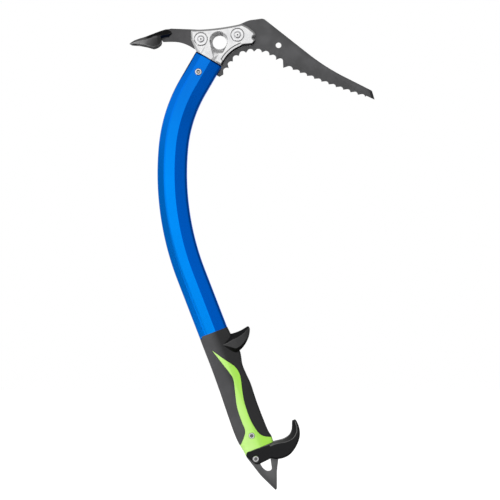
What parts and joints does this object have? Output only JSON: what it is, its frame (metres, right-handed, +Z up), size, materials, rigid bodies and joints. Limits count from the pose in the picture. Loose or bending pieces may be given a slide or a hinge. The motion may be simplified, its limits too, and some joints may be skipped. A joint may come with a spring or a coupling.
{
  "type": "ice climbing tool",
  "caption": "Ice climbing tool with a bent tube shaft, a forged head holding a toothed pick and a scoop adze, and a moulded grip with finger rests, a collar and a spike with a leash eye.",
  "frame": {"origin": "middle of the throat of the carabiner hole in the head, in the tool's middle plane", "axes": "+X towards the pick, +Z up the tool as it is pictured, +Y across it to the far side; the pictured side faces -Y"},
  "size_m": [0.2626, 0.0318, 0.5047],
  "materials": {
    "shaft_blue": "satin blue anodised",
    "head_silver": "satin, shot-blasted",
    "blade_steel": "dark grey, ground",
    "fastener_steel": "bright zinc",
    "grip_black": "matte black",
    "grip_green": "matte lime green",
    "rest_black": "half-gloss black",
    "plug_grey": "plain grey"
  },
  "bodies": {
    "root": {"shaft": "shaft_blue", "head": "head_silver", "head_rivet": "fastener_steel", "pick": "blade_steel", "pick_bolt": "fastener_steel", "pick_bolt_washer": "fastener_steel", "pick_nut": "fastener_steel", "adze": "blade_steel", "adze_bolt": "fastener_steel", "adze_bolt_washer": "fastener_steel", "adze_nut": "fastener_steel", "grip_rubber": "grip_black", "grip_inlay": "grip_green", "trigger": "rest_black", "spike_plug": "plug_grey", "spike": "blade_steel", "lower_rest": "rest_black", "grip_screw": "fastener_steel", "grip_screw_nut": "fastener_steel", "rest_screw": "fastener_steel", "rest_screw_nut": "fastener_steel"}
  },
  "joints": []
}
